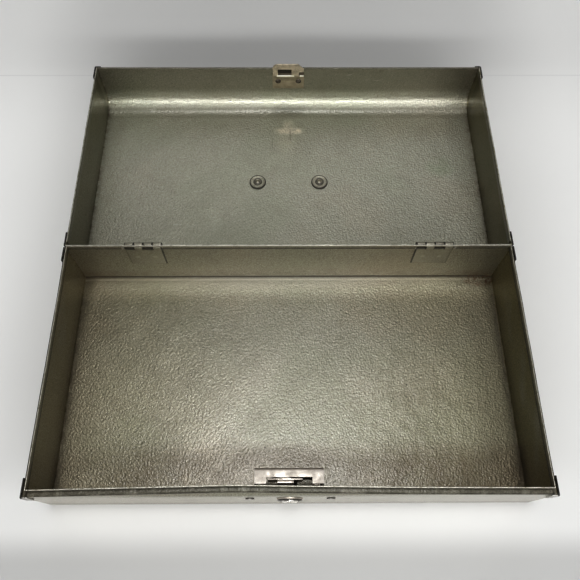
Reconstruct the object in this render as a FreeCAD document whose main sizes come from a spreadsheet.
import FreeCAD, Part
import Sketcher
import math
import os

# Shallow sheet-steel tackle box, lying open: the lid is folded back 180 degrees
# behind the base, so both trays face up.  Millimetres.
#   X  across the front, 0 in the middle of the box
#   Y  0 on the hinge line, negative over the base, positive over the lid
#   Z  0 on the ground, under the base
# The lid turns about the hinge pins; closed, a lid point (y, z) lands on
# (-y, 2 * hinge_height - z).

# Driving dimensions: alias, value, note
SIZES = [
    ("box_width", 406.0, "overall width of base and lid"),
    ("sheet_gauge", 0.8, "body sheet thickness"),
    ("contact_gap", 0.02, "gap left between neighbouring parts"),
    ("base_front", -215.5, "outer face of the base front wall"),
    ("wall_gap", 0.6, "back walls stand this far from the hinge line"),
    ("ledge_height", 62.5, "top of the ledge the closed lid rests on"),
    ("rim_height", 68.5, "top edge of the base rim, inside the lid"),
    ("front_jog", 4.0, "rim steps in from the front wall"),
    ("side_jog", 3.5, "rim steps in from the end walls"),
    ("back_jog", 2.1, "rim steps in from the back wall"),
    ("hinge_height", 62.65, "height of the hinge pins"),
    ("lid_front", 215.3, "outer face of the lid front wall"),
    ("lid_under", 8.0, "outer face of the lid top, box lying open"),
    ("lid_round", 19.8, "outer radius between lid top and front"),
    ("hem_depth", 6.0, "folded hem inside the lid rim"),
    ("bend_radius", 1.6, "outer radius of the sheet bends"),
    ("knuckle_radius", 3.0, "outer radius of the hinge knuckles"),
    ("bore_radius", 1.50, "hole through the knuckles"),
    ("pin_radius", 1.45, "hinge pin"),
    ("pin_overhang", 0.4, "hinge pin stands out at each end of the hinge"),
    ("leaf_gauge", 0.9, "hinge leaf thickness"),
    ("leaf_inset", 1.5, "hinge leaf starts this far from the hinge line"),
    ("leaf_foot", 32.5, "lower edge of a hinge leaf"),
    ("leaf_head", 59.5, "upper edge of the flat leaf"),
    ("strap_foot", 59.2, "lower edge of the knuckle straps"),
    ("hinge_centre", 132.0, "middle of each hinge"),
    ("hinge_width", 33.6, "length of each hinge"),
    ("knuckle_gap", 0.15, "end play on each side of a knuckle"),
    ("slot_low", 59.4, "lower edge of the wall openings at the knuckles"),
    ("slot_high", 66.5, "upper edge of the opening in the base rim"),
    ("slot_play", 0.6, "wall openings are longer than the hinge, each end"),
    ("guard_length", 14.0, "corner guard along the end wall"),
    ("guard_wrap", 5.0, "corner guard along the front wall"),
    ("guard_gauge", 1.3, "corner guard thickness"),
    ("guard_foot", 49.5, "lower edge of the corner guards"),
    ("guard_head", 62.3, "upper edge of the corner guards"),
    ("guard_setback", 0.1, "rear guards stop short of the back wall face"),
    ("case_left", -27.5, "lock case, left side"),
    ("case_right", 25.5, "lock case, right side"),
    ("case_back", -195.5, "lock case, rear face"),
    ("case_top", 67.3, "lock case, upper face"),
    ("case_foot", 30.0, "lock case, lower edge"),
    ("case_gauge", 1.2, "lock case sheet thickness"),
    ("case_gap", 0.1, "lock case stands off the front wall"),
    ("case_nose", -207.2, "lock case, front edge of the top plate"),
    ("case_bend", 2.2, "lock case, outer bend radius"),
    ("cutout_left", -18.5, "opening in the case top, left"),
    ("cutout_right", 16.6, "opening in the case top, right"),
    ("cutout_back", -202.4, "opening in the case top, rear"),
    ("ear_reach", 9.6, "riveting ear beside the case"),
    ("ear_extra", 2.0, "right ear reaches this much further"),
    ("ear_low", 36.0, "riveting ear, lower edge"),
    ("ear_high", 54.0, "riveting ear, upper edge"),
    ("rivet_x", 31.7, "lock rivets either side of the middle"),
    ("rivet_z", 46.0, "lock rivet height"),
    ("rivet_hole", 2.05, "radius of the lock rivet holes"),
    ("rivet_head", 1.2, "lock rivet head stands out from the wall"),
    ("lock_x", -0.5, "lock axis across the box"),
    ("lock_z", 43.5, "lock axis height"),
    ("bezel_radius", 10.3, "ring round the push button"),
    ("bezel_height", 1.8, "ring stands out from the wall"),
    ("barrel_radius", 7.2, "barrel through the front wall"),
    ("barrel_bore", 6.45, "barrel bore"),
    ("barrel_end", -206.0, "inner end of the barrel"),
    ("nut_flat", 8.6, "barrel nut, axis to flat"),
    ("nut_height", 2.6, "barrel nut height"),
    ("button_radius", 6.4, "push button"),
    ("button_face", -218.6, "outer face of the push button"),
    ("button_end", -204.25, "inner face of the push button"),
    ("button_floor", 2.0, "thickness of the button floor"),
    ("plug_radius", 3.5, "key plug"),
    ("plug_bore", 3.56, "bore for the key plug"),
    ("plug_tail", 2.45, "key plug tail stands out behind the button"),
    ("web_gauge", 1.2, "thickness of the web that carries the cam pin"),
    ("catch_plane", -204.2, "front face of the catch plate"),
    ("catch_gauge", 1.2, "catch plate thickness"),
    ("catch_left", -17.5, "catch plate, left edge"),
    ("catch_right", 9.5, "catch plate, right edge"),
    ("catch_head", 65.2, "catch plate, upper edge"),
    ("catch_foot", 46.1, "catch plate, lower edge over the button"),
    ("tab_half", 7.0, "half width of the catch plate tab"),
    ("tab_drop", 6.0, "tab reaches below the rest of the catch plate"),
    ("nose_left", -10.2, "catch nose, left edge"),
    ("nose_right", 2.6, "catch nose, right edge"),
    ("nose_low", 58.8, "catch nose, lower face"),
    ("nose_high", 62.0, "catch nose, upper face"),
    ("nose_tip", -209.2, "catch nose reaches through the strike"),
    ("bolt_left", 17.2, "deadbolt tip, drawn back"),
    ("bolt_right", 21.9, "deadbolt, right side"),
    ("bolt_low", 62.4, "deadbolt, lower face"),
    ("bolt_high", 65.6, "deadbolt, upper face"),
    ("bolt_front", -208.5, "deadbolt, front face"),
    ("bolt_back", -197.0, "deadbolt, rear face"),
    ("fork_gauge", 4.0, "deadbolt, thickness of leg, arm and fork"),
    ("pin_orbit", 2.5, "sideways offset of the cam pin, also its drop"),
    ("coil_x", -11.5, "catch spring axis across the box"),
    ("coil_z", 58.0, "catch spring axis height"),
    ("coil_radius", 3.0, "catch spring, axis to middle of the wire"),
    ("coil_wire", 0.35, "catch spring wire radius"),
    ("coil_turns", 5.0, "catch spring turns"),
    ("coil_gap", 0.45, "coil path stops short of the metal at each end"),
    ("strike_gauge", 1.2, "strike plate thickness"),
    ("strike_foot", 33.5, "strike plate, lower edge"),
    ("strike_step", 54.9, "strike plate steps inwards here"),
    ("strike_tip", 73.9, "end of the strike tongue"),
    ("tongue_face", 206.9, "inner face of the strike tongue"),
    ("strike_half", 17.0, "half width of the strike foot"),
    ("tongue_half", 16.3, "half width of the tongue"),
    ("window_left", -11.0, "catch window in the tongue, left"),
    ("window_right", 3.4, "catch window in the tongue, right"),
    ("window_low", 58.2, "catch window, lower edge"),
    ("window_high", 67.1, "catch window, upper edge"),
    ("notch_left", 11.0, "deadbolt notch, inner edge"),
    ("notch_high", 63.2, "deadbolt notch, upper edge"),
    ("strike_rivet_x", 11.0, "strike rivets either side of the middle"),
    ("strike_rivet_z", 44.1, "strike rivet height"),
    ("strike_hole", 1.8, "radius of the strike rivet holes"),
    ("strike_head", 0.9, "strike rivet head height"),
    ("post_x", 32.7, "handle posts either side of the middle"),
    ("post_y", 106.4, "handle posts from the hinge line"),
    ("post_hole", 2.55, "radius of the lid and washer holes"),
    ("handle_z", 3.9, "handle pivot height, box lying open"),
    ("post_bottom", 0.1, "lowest point of the handle posts"),
    ("wire_radius", 2.5, "handle wire"),
    ("wire_bore", 2.55, "hole through the handle posts"),
    ("wire_end", 24.0, "ends of the handle wire"),
    ("wire_bevel", 0.5, "bevel on the ends of the handle wire"),
    ("handle_half", 45.0, "handle leg from the middle"),
    ("handle_reach", 38.0, "grip from the pivots"),
    ("ankle_radius", 6.5, "bend beside the posts"),
    ("knee_radius", 13.0, "bend beside the grip"),
    ("washer_radius", 8.75, "washer under each post rivet"),
    ("washer_height", 1.3, "washer height"),
]

PAST = 1.0  # usual overrun of a cut past the metal
SIDES = (("left", -1), ("right", 1))
Vector = FreeCAD.Vector
Z_TO_X = FreeCAD.Rotation(Vector(0, 1, 0), 90)
Z_TO_Y = FreeCAD.Rotation(Vector(1, 0, 0), -90)


class Size:
    """A length that carries both its value and its expression."""

    def __init__(self, value, text):
        self.value = float(value)
        self.text = text

    def __add__(self, other):
        other = size(other)
        return Size(self.value + other.value, "(%s + %s)" % (self.text, other.text))

    __radd__ = __add__

    def __sub__(self, other):
        other = size(other)
        return Size(self.value - other.value, "(%s - %s)" % (self.text, other.text))

    def __mul__(self, other):
        other = size(other)
        return Size(self.value * other.value, "(%s * %s)" % (self.text, other.text))

    def __truediv__(self, other):
        other = size(other)
        return Size(self.value / other.value, "(%s / %s)" % (self.text, other.text))

    def __neg__(self):
        return Size(-self.value, "(0 - %s)" % self.text)


def size(x):
    if isinstance(x, Size):
        return x
    return Size(x, "%.6f" % x if x >= 0 else "(0 - %.6f)" % -x)


class Dimensions:
    """Holds one Size per spreadsheet alias."""


doc = FreeCAD.newDocument("TackleBox")
sheet = doc.addObject("Spreadsheet::Sheet", "Dims")
dim = Dimensions()
for row, (alias, value, note) in enumerate(SIZES, start=1):
    sheet.set("A%d" % row, note)
    sheet.set("B%d" % row, repr(value))
    sheet.setAlias("B%d" % row, alias)
    setattr(dim, alias, Size(value, "Dims." + alias))
doc.recompute()

subparts = []


# ----------------------------------------------------------------- objects
def camel(label):
    return label.title().replace("_", "")


def bind(obj, prop, amount):
    obj.setExpression(prop, size(amount).text)


def keep(obj, label):
    """Label an object and list it for export."""
    obj.Label = label
    subparts.append(obj)
    return obj


def new_body(label):
    return keep(doc.addObject("PartDesign::Body", camel(label)), label)


def place(obj, x=0, y=0, z=0, turn=FreeCAD.Rotation()):
    obj.Placement = FreeCAD.Placement(Vector(0, 0, 0), turn)
    for axis, amount in (("x", x), ("y", y), ("z", z)):
        bind(obj, "Placement.Base." + axis, amount)


def mirrored(source, name):
    mirror = doc.addObject("Part::Mirroring", name)
    mirror.Source = source
    mirror.Normal = (1, 0, 0)
    mirror.Base = (0, 0, 0)
    return mirror


def keep_mirror(source, label):
    keep(mirrored(source, camel(label)), label)


def keep_pair(source, label):
    """One part made of a body and its mirror image."""
    pair = doc.addObject("Part::Compound", camel(label))
    pair.Links = [source, mirrored(source, source.Name + "Twin")]
    keep(pair, label)


# ---------------------------------------------------------------- sketches
def new_sketch(body, name, plane, offset=0):
    offset = size(offset)
    sketch = body.newObject("Sketcher::SketchObject", name)
    origin_plane = [f for f in body.Origin.OriginFeatures if f.Role == plane][0]
    sketch.AttachmentSupport = [(origin_plane, "")]
    sketch.MapMode = "FlatFace"
    sketch.AttachmentOffset = FreeCAD.Placement(Vector(0, 0, offset.value), FreeCAD.Rotation())
    bind(sketch, "AttachmentOffset.Base.z", offset)
    return sketch


def constrain(sketch, kind, label, amount, *where):
    amount = size(amount)
    index = sketch.addConstraint(Sketcher.Constraint(kind, *where, amount.value))
    sketch.renameConstraint(index, label)
    sketch.setExpression("Constraints." + label, amount.text)


# polygon, rectangle and circle return a function that draws into a sketch.
def polygon(points):
    """Closed outline through the given corners, every corner dimensioned."""
    points = [(size(x), size(y)) for x, y in points]
    count = len(points)

    def draw(sketch):
        first = sketch.GeometryCount
        ends = [Vector(x.value, y.value, 0) for x, y in points]
        for i in range(count):
            sketch.addGeometry(Part.LineSegment(ends[i], ends[(i + 1) % count]), False)
        for i in range(count):
            sketch.addConstraint(Sketcher.Constraint(
                "Coincident", first + i, 2, first + (i + 1) % count, 1))
        for line, (x, y) in enumerate(points, start=first):
            constrain(sketch, "DistanceX", "across_%d" % line, x, -1, 1, line, 1)
            constrain(sketch, "DistanceY", "along_%d" % line, y, -1, 1, line, 1)
    return draw


def rectangle(x0, x1, y0, y1):
    return polygon([(x0, y0), (x1, y0), (x1, y1), (x0, y1)])


def circle(x, y, radius):
    x, y, radius = size(x), size(y), size(radius)

    def draw(sketch):
        centre = Vector(x.value, y.value, 0)
        ring = sketch.addGeometry(Part.Circle(centre, Vector(0, 0, 1), radius.value), False)
        constrain(sketch, "Radius", "radius_%d" % ring, radius, ring)
        constrain(sketch, "DistanceX", "across_%d" % ring, x, -1, 1, ring, 3)
        constrain(sketch, "DistanceY", "along_%d" % ring, y, -1, 1, ring, 3)
    return draw


def twin_holes(x, z, radius):
    return circle(-x, z, radius), circle(x, z, radius)


# ---------------------------------------------------------------- features
def extrude(body, kind, name, plane, low, high, shapes):
    """Prism between two parallel planes, low and high, on the body's axis."""
    low, high = size(low), size(high)
    if plane == "XZ_Plane":
        # this plane's normal points along -Y
        low, high = -high, -low
    # a pad grows along the normal, a pocket cuts against it
    start = low if kind == "Pad" else high
    depth = high - low
    sketch = new_sketch(body, name + "Sketch", plane, start)
    for draw in shapes:
        draw(sketch)
    feature = body.newObject("PartDesign::" + kind, name)
    feature.Profile = sketch
    feature.Length = depth.value
    bind(feature, "Length", depth)
    sketch.Visibility = False


def pad(body, name, plane, low, high, *shapes):
    extrude(body, "Pad", name, plane, low, high, shapes)


def pocket(body, name, plane, low, high, *shapes):
    doc.recompute()
    before = body.Shape.Volume
    extrude(body, "Pocket", name, plane, low, high, shapes)
    doc.recompute()
    if not body.Shape.Volume < before - 1e-6:
        raise RuntimeError("pocket %s of %s cuts nothing" % (name, body.Name))


def revolve(body, name, sketch, axis, angle):
    feature = body.newObject("PartDesign::Revolution", name)
    feature.Profile = sketch
    feature.ReferenceAxis = (sketch, [axis])
    feature.Angle = angle
    return feature


def turned(body, name, points):
    """Solid of revolution about the body's Z axis from (radius, height) corners."""
    sketch = new_sketch(body, name + "Sketch", "XZ_Plane")
    polygon(points)(sketch)
    revolve(body, name, sketch, "V_Axis", 360)


def dress_edges(body, kind, prop, name, amount, test):
    doc.recompute()
    edges = []
    for i, edge in enumerate(body.Shape.Edges, start=1):
        if test(edge.valueAt(edge.FirstParameter), edge.valueAt(edge.LastParameter)):
            edges.append("Edge%d" % i)
    if not edges:
        raise RuntimeError("%s finds no edges on %s" % (name, body.Name))
    base = body.Tip
    feature = body.newObject("PartDesign::" + kind, name)
    feature.Base = (base, edges)
    setattr(feature, prop, size(amount).value)
    bind(feature, prop, amount)
    doc.recompute()


def fillet(body, name, radius, test):
    dress_edges(body, "Fillet", "Radius", name, radius, test)


def chamfer(body, name, width, test):
    dress_edges(body, "Chamfer", "Size", name, width, test)


def along(axis, *others):
    """Edges parallel to an axis that pass through a point in the other two."""
    run = "xyz".index(axis)
    across = [i for i in range(3) if i != run]
    targets = [size(other).value for other in others]

    def test(start, end):
        on_line = all(abs(point[i] - target) < 1e-3
                      for point in (start, end) for i, target in zip(across, targets))
        return on_line and abs(start[run] - end[run]) > 1e-3
    return test


def any_of(*tests):
    return lambda start, end: any(test(start, end) for test in tests)


# ------------------------------------------------------------- base sheets
half_width = dim.box_width / 2
gauge = dim.sheet_gauge
base_back = -dim.wall_gap
end_inside = half_width - gauge
wrapper_end = end_inside - dim.contact_gap
wall_inside = dim.base_front + gauge
ledge_under = dim.ledge_height - gauge
rim_side = half_width - dim.side_jog
rim_front = dim.base_front + dim.front_jog
rim_back = base_back - dim.back_jog


def hinge_opening(body, name, sign, y_low, y_high, top):
    centre = dim.hinge_centre * sign
    reach = dim.hinge_width / 2 + dim.slot_play
    pocket(body, name, "XZ_Plane", y_low, y_high,
           rectangle(centre - reach, centre + reach, dim.slot_low, top))


def base_wrapper():
    """Floor, front wall and back wall, one folded sheet.

    Both walls end in a ledge and a rim that steps inwards, which the closed
    lid covers.
    """
    body = new_body("base_wrapper")
    pad(body, "Profile", "YZ_Plane", -wrapper_end, wrapper_end, polygon([
        (dim.base_front, 0), (base_back, 0), (base_back, dim.ledge_height),
        (rim_back, dim.ledge_height), (rim_back, dim.rim_height),
        (rim_back - gauge, dim.rim_height), (rim_back - gauge, ledge_under),
        (base_back - gauge, ledge_under), (base_back - gauge, gauge),
        (wall_inside, gauge), (wall_inside, ledge_under),
        (rim_front + gauge, ledge_under), (rim_front + gauge, dim.rim_height),
        (rim_front, dim.rim_height), (rim_front, dim.ledge_height),
        (dim.base_front, dim.ledge_height)]))
    fillet(body, "Bends", dim.bend_radius,
           any_of(along("x", dim.base_front, 0), along("x", base_back, 0)))
    # the rims stop where the end rims cross them
    trim_x = rim_side - gauge - 0.05
    trim_low = ledge_under - 0.05
    trim_high = dim.rim_height + PAST
    for side, sign in SIDES:
        low, high = trim_x, half_width + PAST
        if sign < 0:
            low, high = -high, -low
        pocket(body, "Trim" + side.title(), "YZ_Plane", low, high,
               rectangle(dim.base_front - PAST, dim.base_front + 12, trim_low, trim_high),
               rectangle(base_back - 10, base_back + PAST, trim_low, trim_high))
        hinge_opening(body, "HingeSlot" + side.title(), sign, -8, PAST, dim.slot_high)
    pocket(body, "LockHoles", "XZ_Plane", dim.base_front - PAST, dim.base_front + 2,
           circle(dim.lock_x, dim.lock_z, dim.barrel_radius + 0.1),
           *twin_holes(dim.rivet_x, dim.rivet_z, dim.rivet_hole))


def base_ends():
    """End walls with the same ledge and rim."""
    body = new_body("base_end_right")
    pad(body, "Profile", "XZ_Plane", dim.base_front, base_back, polygon([
        (half_width, 0), (half_width, dim.ledge_height), (rim_side, dim.ledge_height),
        (rim_side, dim.rim_height), (rim_side - gauge, dim.rim_height),
        (rim_side - gauge, ledge_under), (end_inside, ledge_under), (end_inside, 0)]))
    for name, low, high in (("TrimFront", dim.base_front - PAST, rim_front),
                            ("TrimBack", rim_back, base_back + PAST)):
        pocket(body, name, "XZ_Plane", low, high, rectangle(
            rim_side - 5, rim_side + 0.4, dim.ledge_height, dim.rim_height + PAST))
    fillet(body, "Corners", dim.bend_radius,
           any_of(along("x", dim.base_front, 0), along("x", base_back, 0)))
    keep_mirror(body, "base_end_left")


# ---------------------------------------------------------- corner guards
def guards(name, y_end, sign, wraps):
    """Steel guards outside a pair of rim corners; sign is the Y direction outwards."""
    body = new_body(name + "_right")
    x_in = half_width + dim.contact_gap
    x_out = half_width + dim.guard_gauge
    y_tail = y_end - dim.guard_length * sign
    if wraps:
        y_in = y_end + dim.contact_gap * sign
        y_out = y_end + dim.guard_gauge * sign
        x_wrap = half_width - dim.guard_wrap
        points = [(x_in, y_in), (x_in, y_tail), (x_out, y_tail), (x_out, y_out),
                  (x_wrap, y_out), (x_wrap, y_in)]
    else:
        points = [(x_in, y_end), (x_in, y_tail), (x_out, y_tail), (x_out, y_end)]
    pad(body, "Plate", "XY_Plane", dim.guard_foot, dim.guard_head, polygon(points))
    if wraps:
        fillet(body, "Fold", dim.guard_gauge * 0.95, along("z", x_out, y_out))
    keep_mirror(body, name + "_left")


# --------------------------------------------------------------- hinges
def ordered(first, second):
    return (first, second) if first.value < second.value else (second, first)


def hinge_leaf(label, centre, sign, knuckles):
    """Leaf on the base (sign -1) or lid (+1) side, with the numbered knuckles."""
    body = new_body(label)
    left = centre - dim.hinge_width / 2
    right = left + dim.hinge_width
    pitch = dim.hinge_width / 4
    y_in = dim.leaf_inset * sign
    y_out = (dim.leaf_inset + dim.leaf_gauge) * sign
    pad(body, "Leaf", "XZ_Plane", *ordered(y_out, y_in),
        rectangle(left, right, dim.leaf_foot, dim.leaf_head))
    strap_low, strap_high = ordered(y_in, dim.knuckle_radius * sign)
    for k in knuckles:
        x0 = left + pitch * k + dim.knuckle_gap
        x1 = left + pitch * (k + 1) - dim.knuckle_gap
        pad(body, "Strap%d" % k, "YZ_Plane", x0, x1,
            rectangle(strap_low, strap_high, dim.strap_foot, dim.hinge_height))
        pad(body, "Knuckle%d" % k, "YZ_Plane", x0, x1,
            circle(0, dim.hinge_height, dim.knuckle_radius))
    pocket(body, "PinHole", "YZ_Plane", left - PAST, right + PAST,
           circle(0, dim.hinge_height, dim.bore_radius))


def hinge(side, sign):
    """Two leaves and a pin.

    Four knuckles sit on the pin: counted from the left, the base leaf carries
    the second and fourth, the lid leaf the first and third.
    """
    centre = dim.hinge_centre * sign
    hinge_leaf("hinge_base_leaf_" + side, centre, -1, (1, 3))
    hinge_leaf("hinge_lid_leaf_" + side, centre, 1, (0, 2))
    pin = doc.addObject("Part::Cylinder", "HingePin" + side.title())
    bind(pin, "Radius", dim.pin_radius)
    bind(pin, "Height", dim.hinge_width + dim.pin_overhang * 2)
    place(pin, centre - dim.hinge_width / 2 - dim.pin_overhang, 0, dim.hinge_height, Z_TO_X)
    doc.recompute()
    bevel = 0.3
    bevelled = doc.addObject("Part::Chamfer", "HingePinEnds" + side.title())
    bevelled.Base = pin
    bevelled.Edges = [(i, bevel, bevel) for i, edge in enumerate(pin.Shape.Edges, start=1)
                      if edge.Curve.TypeId == "Part::GeomCircle"]
    keep(bevelled, "hinge_pin_" + side)


# ----------------------------------------------------------------- lock
case_gauge = dim.case_gauge
case_front = wall_inside + dim.case_gap
button_length = dim.button_end - dim.button_face
catch_back = dim.catch_plane + dim.catch_gauge


def lock_case():
    body = new_body("lock_case")
    # top plate and rear plate, one folded strip
    rear_inside = dim.case_back - case_gauge
    top_inside = dim.case_top - case_gauge
    pad(body, "Strip", "YZ_Plane", dim.case_left, dim.case_right, polygon([
        (dim.case_nose, top_inside), (rear_inside, top_inside),
        (rear_inside, dim.case_foot), (dim.case_back, dim.case_foot),
        (dim.case_back, dim.case_top), (dim.case_nose, dim.case_top)]))
    # side plates, stepped to clear the ledge of the front wall
    step = ledge_under - 0.4
    side_back = dim.case_back - case_gauge / 2
    side_top = dim.case_top - case_gauge / 2
    for name, x0, x1 in (("SideLeft", dim.case_left, dim.case_left + case_gauge),
                         ("SideRight", dim.case_right - case_gauge, dim.case_right)):
        pad(body, name, "YZ_Plane", x0, x1, polygon([
            (case_front, dim.case_foot), (side_back, dim.case_foot), (side_back, side_top),
            (dim.case_nose, side_top), (dim.case_nose, step), (case_front, step)]))
    # riveting ears along the front wall
    for name, x0, x1 in (
            ("EarLeft", dim.case_left - dim.ear_reach, dim.case_left + case_gauge / 2),
            ("EarRight", dim.case_right - case_gauge / 2,
             dim.case_right + dim.ear_reach + dim.ear_extra)):
        pad(body, name, "XZ_Plane", case_front, case_front + case_gauge,
            rectangle(x0, x1, dim.ear_low, dim.ear_high))
    pocket(body, "Cutout", "XY_Plane", top_inside - PAST, dim.case_top + PAST, rectangle(
        dim.cutout_left, dim.cutout_right, dim.case_nose - PAST, dim.cutout_back))
    pocket(body, "RivetHoles", "XZ_Plane", wall_inside - 0.5, wall_inside + 2,
           *twin_holes(dim.rivet_x, dim.rivet_z, dim.rivet_hole))
    fillet(body, "TopBend", dim.case_bend, along("x", dim.case_back, dim.case_top))


def lock_rivets():
    """Tubular rivets through wall and ears: flat head outside, rolled end inside."""
    rivet = doc.addObject("PartDesign::Body", "LockRivet")
    roll = dim.rivet_head + gauge + dim.case_gap + case_gauge
    turned(rivet, "Tube", [
        (0.9, 0.3), (1.9, 0.3), (2.2, 0), (2.9, 0), (3.45, 0.45), (3.45, 1.1),
        (2.0, dim.rivet_head), (2.0, roll), (3.0, roll), (3.1, roll + 0.5),
        (2.4, roll + 0.9), (0.9, roll + 0.9)])
    # solid floor inside the tube
    pad(rivet, "Core", "XY_Plane", 0.8, 2.2, circle(0, 0, 1.1))
    place(rivet, dim.rivet_x, dim.base_front - dim.rivet_head, dim.rivet_z, Z_TO_Y)
    keep_pair(rivet, "lock_rivets")


def lock_barrel():
    """Barrel with its bezel, turned about the lock axis."""
    body = new_body("lock_barrel")
    bore, bezel, height = dim.barrel_bore, dim.bezel_radius, dim.bezel_height
    end = height + (dim.barrel_end - dim.base_front)
    turned(body, "Tube", [
        (bore, 0.2), (bore + 0.5, 0), (bezel - 1.9, 0), (bezel - 0.6, height * 0.35),
        (bezel, height * 0.8), (bezel, height), (dim.barrel_radius, height),
        (dim.barrel_radius, end), (bore, end)])
    place(body, dim.lock_x, dim.base_front - height, dim.lock_z, Z_TO_Y)


def barrel_nut():
    """Hexagonal clamping nut inside the front wall."""
    body = new_body("barrel_nut")
    flat_ratio = math.cos(math.radians(30))
    corners = [math.radians(60 * i) for i in range(6)]
    pad(body, "Hexagon", "XY_Plane", 0, dim.nut_height, polygon([
        (dim.nut_flat * (math.cos(angle) / flat_ratio),
         dim.nut_flat * (math.sin(angle) / flat_ratio)) for angle in corners]))
    pocket(body, "Bore", "XY_Plane", -PAST, 4, circle(0, 0, dim.barrel_radius + 0.05))
    place(body, dim.lock_x, wall_inside + dim.contact_gap, dim.lock_z, Z_TO_Y)


def lock_button():
    """Push button, hollow for the key plug."""
    body = new_body("lock_button")
    bore, radius = dim.plug_bore, dim.button_radius
    tail_hole = 2.3
    floor = button_length - dim.button_floor
    turned(body, "Shell", [
        (bore, 0.35), (bore + 0.4, 0), (radius - 0.9, 0), (radius, 0.7),
        (radius, button_length), (tail_hole, button_length), (tail_hole, floor), (bore, floor)])
    place(body, dim.lock_x, dim.button_face, dim.lock_z, Z_TO_Y)


def key_plug():
    """Slotted face, tail through the button floor, web and cam pin."""
    body = new_body("key_plug")
    radius, orbit = dim.plug_radius, dim.pin_orbit
    shoulder = button_length - dim.button_floor - 0.1
    tail_radius = 2.0
    tail_end = button_length + dim.plug_tail
    turned(body, "Plug", [
        (0, 0.25), (radius - 0.3, 0.25), (radius, 0.55), (radius, shoulder),
        (tail_radius, shoulder), (tail_radius, tail_end), (0, tail_end)])
    pocket(body, "KeySlot", "XY_Plane", -PAST, 6, rectangle(-0.45, 0.45, -2.3, 2.3))
    # the body's Y axis points down once the plug is in place
    skew = 0.57  # X and Y offset of the web's corners from its diagonal
    web_front = tail_end - dim.web_gauge
    pad(body, "Web", "XY_Plane", web_front, tail_end, polygon([
        (-skew, skew), (skew, -skew), (orbit + skew, orbit - skew),
        (orbit - skew, orbit + skew)]))
    pad(body, "CamPin", "XY_Plane", web_front, button_length + 4.4, circle(orbit, orbit, 0.9))
    place(body, dim.lock_x, dim.button_face, dim.lock_z, Z_TO_Y)


def catch_plate():
    """Plate behind the button that carries the nose."""
    body = new_body("catch_plate")
    tab_left, tab_right = dim.lock_x - dim.tab_half, dim.lock_x + dim.tab_half
    foot, shoulder = dim.catch_foot, dim.catch_foot + dim.tab_drop
    pad(body, "Plate", "XZ_Plane", dim.catch_plane, catch_back, polygon([
        (dim.catch_left, shoulder), (tab_left, shoulder), (tab_left, foot),
        (tab_right, foot), (tab_right, shoulder), (dim.catch_right, shoulder),
        (dim.catch_right, dim.catch_head), (dim.catch_left, dim.catch_head)]))
    root = dim.catch_plane + 0.6
    pad(body, "Nose", "YZ_Plane", dim.nose_left, dim.nose_right, polygon([
        (dim.nose_tip, dim.nose_low), (root, dim.nose_low), (root, dim.nose_high),
        (dim.catch_plane - 1.8, dim.nose_high), (dim.nose_tip, dim.nose_low + 1.1)]))


def deadbolt():
    """Bolt head by the strike, leg down the case, arm with a fork."""
    body = new_body("deadbolt")
    pad(body, "Head", "XZ_Plane", dim.bolt_front, dim.bolt_back,
        rectangle(dim.bolt_left, dim.bolt_right, dim.bolt_low, dim.bolt_high))
    pin_x = dim.lock_x + dim.pin_orbit
    fork_half, slot_half = 2.3, 1.15
    arm_low, arm_high, fork_top = dim.lock_z - 6.2, dim.lock_z - 4.8, dim.lock_z - 2.8
    leg_left, leg_top = dim.bolt_right - 3, dim.bolt_low + 1
    pad(body, "Fork", "XZ_Plane", dim.bolt_back - dim.fork_gauge, dim.bolt_back, polygon([
        (pin_x - fork_half, arm_low), (dim.bolt_right, arm_low),
        (dim.bolt_right, leg_top), (leg_left, leg_top), (leg_left, arm_high),
        (pin_x + fork_half, arm_high), (pin_x + fork_half, fork_top),
        (pin_x + slot_half, fork_top), (pin_x + slot_half, arm_high),
        (pin_x - slot_half, arm_high), (pin_x - slot_half, fork_top),
        (pin_x - fork_half, fork_top)]))


def catch_spring():
    """Return spring between catch plate and case."""
    height = dim.case_back - case_gauge - catch_back - dim.coil_gap * 2
    coil = doc.addObject("Part::Helix", "CatchSpringCoil")
    bind(coil, "Radius", dim.coil_radius)
    bind(coil, "Height", height)
    bind(coil, "Pitch", height / dim.coil_turns)
    wire = doc.addObject("Part::Circle", "CatchSpringWire")
    bind(wire, "Radius", dim.coil_wire)
    place(wire, dim.coil_radius, turn=FreeCAD.Rotation(Vector(1, 0, 0), 90))
    doc.recompute()
    spring = doc.addObject("Part::Sweep", "CatchSpring")
    spring.Sections = [wire]
    spring.Spine = (coil, ["Edge%d" % (i + 1) for i in range(len(coil.Shape.Edges))])
    spring.Solid = True
    spring.Frenet = True
    place(spring, dim.coil_x, catch_back + dim.coil_gap, dim.coil_z, Z_TO_Y)
    keep(spring, "catch_spring")


# ------------------------------------------------------------ lid sheets
lid_front, lid_under, lid_back = dim.lid_front, dim.lid_under, dim.wall_gap
lid_inside = lid_front - gauge
hem_inside = lid_inside - gauge
hem_foot = dim.ledge_height - dim.hem_depth
lid_floor = lid_under + gauge


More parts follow.
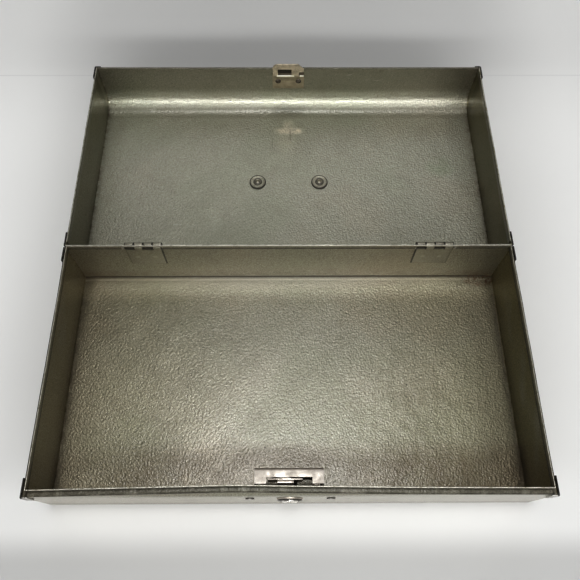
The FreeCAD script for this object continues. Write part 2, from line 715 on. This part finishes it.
def lid_wrapper():
    """Lid top, back wall and hemmed front wall, one folded sheet."""
    body = new_body("lid_wrapper")
    rim = dim.ledge_height
    pad(body, "Profile", "YZ_Plane", -wrapper_end, wrapper_end, polygon([
        (lid_back, rim), (lid_back, lid_under), (lid_front, lid_under), (lid_front, rim),
        (hem_inside, rim), (hem_inside, hem_foot), (lid_inside, hem_foot),
        (lid_inside, lid_floor), (lid_back + gauge, lid_floor), (lid_back + gauge, rim)]))
    fillet(body, "OuterRound", dim.lid_round, along("x", lid_front, lid_under))
    fillet(body, "InnerRound", dim.lid_round - gauge, along("x", lid_inside, lid_floor))
    fillet(body, "BackBend", dim.bend_radius, along("x", lid_back, lid_under))
    for side, sign in SIDES:
        hinge_opening(body, "HingeNotch" + side.title(), sign, 0, 3, rim + PAST)
    pocket(body, "PostHoles", "XY_Plane", lid_under - PAST, lid_under + 2,
           *twin_holes(dim.post_x, dim.post_y, dim.post_hole))
    pocket(body, "StrikeHoles", "XZ_Plane", lid_front - 2, lid_front + PAST,
           *twin_holes(dim.strike_rivet_x, dim.strike_rivet_z, dim.strike_hole))


def lid_ends():
    """End walls of the lid, each with a hem inside the rim."""
    body = new_body("lid_end_right")
    pad(body, "Plate", "YZ_Plane", end_inside, half_width,
        rectangle(lid_back, lid_front, lid_under, dim.ledge_height))
    fillet(body, "Round", dim.lid_round, along("x", lid_front, lid_under))
    fillet(body, "BackCorner", dim.bend_radius, along("x", lid_back, lid_under))
    pad(body, "Hem", "YZ_Plane", end_inside - gauge, end_inside,
        rectangle(lid_back + 4, hem_inside - 0.1, hem_foot, dim.ledge_height))
    keep_mirror(body, "lid_end_left")


# ---------------------------------------------------------------- strike
strike_inside = lid_inside - dim.strike_gauge


def strike_plate():
    """Plate on the lid front wall, stepped inwards to a slotted tongue."""
    body = new_body("strike_plate")
    foot, step, tip = dim.strike_foot, dim.strike_step, dim.strike_tip
    foot_half, tongue_half = dim.strike_half, dim.tongue_half
    outside = lid_inside - dim.contact_gap
    tongue_in = dim.tongue_face
    tongue_out = tongue_in + dim.strike_gauge
    step_top = step + dim.strike_gauge
    pad(body, "Profile", "YZ_Plane", -tongue_half, tongue_half, polygon([
        (outside, foot), (outside, step_top), (tongue_out, step_top), (tongue_out, tip),
        (tongue_in, tip), (tongue_in, step), (strike_inside, step), (strike_inside, foot)]))
    pad(body, "Foot", "XZ_Plane", strike_inside, outside,
        rectangle(-foot_half, foot_half, foot, step - 1.5))
    pocket(body, "Windows", "XZ_Plane", tongue_in - PAST, tongue_out + PAST,
           rectangle(dim.window_left, dim.window_right, dim.window_low, dim.window_high),
           rectangle(dim.notch_left, tongue_half + PAST, dim.window_low, dim.notch_high))
    pocket(body, "RivetHoles", "XZ_Plane", lid_inside - 2, lid_inside + PAST,
           *twin_holes(dim.strike_rivet_x, dim.strike_rivet_z, dim.strike_hole))
    fillet(body, "TipLeft", 5.5, along("y", -tongue_half, tip))
    chamfer(body, "TipRight", 6.2, along("y", tongue_half, tip))
    fillet(body, "FootCorners", 1.5,
           any_of(along("y", -foot_half, foot), along("y", foot_half, foot)))
    fillet(body, "Folds", 0.9,
           any_of(along("x", tongue_in, step), along("x", outside, step_top)))


def strike_rivets():
    rivet = doc.addObject("PartDesign::Body", "StrikeRivet")
    head, shank = dim.strike_head, 1.75
    far = head + gauge + dim.strike_gauge
    turned(rivet, "Shank", [
        (0, 0.5), (0.9, 0.5), (1.3, 0), (2.3, 0), (2.95, 0.55), (2.95, head), (shank, head),
        (shank, far), (3.0, far), (2.6, far + 0.7), (1.4, far + 1.1), (0, far + 1.2)])
    place(rivet, dim.strike_rivet_x, strike_inside - head, dim.strike_rivet_z, Z_TO_Y)
    keep_pair(rivet, "strike_rivets")


# ---------------------------------------------------------------- handle
def handle_post(side, sign):
    """Round post under the lid top, cross-drilled for the wire.

    Its shank is clinched over a washer inside the lid.
    """
    body = new_body("handle_post_" + side)
    foot = dim.post_bottom
    clinch = lid_floor + dim.washer_height
    turned(body, "Post", [
        (0, foot), (2.6, foot), (3.7, foot + 0.5), (4.5, foot + 1.6), (4.7, foot + 2.8),
        (4.7, lid_under - 1.3), (5.6, lid_under - 1.1), (5.6, lid_under), (2.5, lid_under),
        (2.5, clinch - 0.3), (4.5, clinch - 0.3), (4.6, clinch + 0.2), (4.1, clinch + 0.8),
        (3.1, clinch + 1.0), (2.2, clinch + 0.7), (1.9, clinch + 0.1), (1.9, clinch - 0.9),
        (0.9, clinch - 0.6), (0, clinch - 0.5)])
    pocket(body, "WireHole", "YZ_Plane", -9, 9, circle(0, dim.handle_z, dim.wire_bore))
    place(body, dim.post_x * sign, dim.post_y, 0)


def handle_washer(side, sign):
    body = new_body("handle_washer_" + side)
    bore, radius, height = dim.post_hole, dim.washer_radius, dim.washer_height
    turned(body, "Washer", [
        (bore, 0), (radius - 0.2, 0), (radius, 0.35), (radius - 0.35, height - 0.15),
        (radius - 1.0, height), (radius - 1.9, height - 0.1), (radius - 2.7, height - 0.45),
        (radius - 3.6, height - 0.42), (bore, height - 0.42)])
    place(body, dim.post_x * sign, dim.post_y, lid_floor)


def wire_bend(body, name, axis_x, y, wire_x, outward):
    """Quarter turn of the wire section, from plane y towards outward (+1 or -1 in Y)."""
    sketch = new_sketch(body, name + "Sketch", "XZ_Plane", -y)
    circle(wire_x, 0, dim.wire_radius)(sketch)
    reach = 5  # half length of the axis line
    axis = sketch.addGeometry(Part.LineSegment(
        Vector(axis_x.value, -reach, 0), Vector(axis_x.value, reach, 0)), True)
    sketch.addConstraint(Sketcher.Constraint("Vertical", axis))
    constrain(sketch, "DistanceX", "axis_across", axis_x, -1, 1, axis, 1)
    constrain(sketch, "DistanceY", "axis_foot", -reach, -1, 1, axis, 1)
    constrain(sketch, "DistanceY", "axis_head", reach, -1, 1, axis, 2)
    feature = revolve(body, name, sketch, "Axis0", 90)
    doc.recompute()
    # the added solid is kept in its sketch's frame, whose normal is -Y
    bounds = feature.AddSubShape.BoundBox
    middle = -(bounds.ZMin + bounds.ZMax) / 2
    if (middle - y.value) * outward < 0:
        feature.Reversed = True
        doc.recompute()


def handle_bail():
    """Wire bail, folded flat under the lid: ends through the posts, legs, grip.

    Straight runs are pads of the wire section, bends are quarter turns of it.
    """
    body = new_body("handle_bail")
    leg_x, grip_y, end_x = dim.handle_half, dim.handle_reach, dim.wire_end
    ankle, knee, radius = dim.ankle_radius, dim.knee_radius, dim.wire_radius
    knee_y = grip_y - knee

    pad(body, "LegLeft", "XZ_Plane", ankle, knee_y, circle(-leg_x, 0, radius))
    wire_bend(body, "AnkleLeft", -leg_x + ankle, ankle, -leg_x, -1)
    pad(body, "EndLeft", "YZ_Plane", -leg_x + ankle, -end_x, circle(0, 0, radius))
    wire_bend(body, "KneeLeft", -leg_x + knee, knee_y, -leg_x, 1)
    pad(body, "Grip", "YZ_Plane", -leg_x + knee, leg_x - knee, circle(grip_y, 0, radius))
    wire_bend(body, "KneeRight", leg_x - knee, knee_y, leg_x, 1)
    pad(body, "LegRight", "XZ_Plane", ankle, knee_y, circle(leg_x, 0, radius))
    wire_bend(body, "AnkleRight", leg_x - ankle, ankle, leg_x, -1)
    pad(body, "EndRight", "YZ_Plane", end_x, leg_x - ankle, circle(0, 0, radius))

    def at_wire_end(start, end):
        closed = (start - end).Length < 1e-6
        return closed and abs(abs(start.x) - end_x.value) < 1e-3

    chamfer(body, "EndBevels", dim.wire_bevel, at_wire_end)
    place(body, 0, dim.post_y, dim.handle_z)


# ------------------------------------------------------------------- build
base_wrapper()
base_ends()
guards("base_front_guard", dim.base_front, -1, True)
guards("base_back_guard", base_back - dim.guard_setback, 1, False)
guards("lid_front_guard", lid_front, 1, True)
guards("lid_back_guard", lid_back + dim.guard_setback, -1, False)
for side, sign in SIDES:
    hinge(side, sign)
lock_case()
lock_rivets()
lock_barrel()
barrel_nut()
lock_button()
key_plug()
catch_plate()
deadbolt()
catch_spring()
lid_wrapper()
lid_ends()
strike_plate()
strike_rivets()
for side, sign in SIDES:
    handle_post(side, sign)
    handle_washer(side, sign)
handle_bail()

# ----------------------------------------------------------------- write
doc.recompute()
bad = [o.Name for o in doc.Objects if "Invalid" in o.State or "Error" in o.State]
if bad:
    raise RuntimeError("failed objects: " + ", ".join(bad))
for part in subparts:
    if part.Shape.isNull() or not part.Shape.isValid() or not part.Shape.Solids:
        raise RuntimeError("bad shape: " + part.Label)
os.makedirs("parts", exist_ok=True)
for part in subparts:
    part.Shape.exportStep("parts/%s.step" % part.Label)
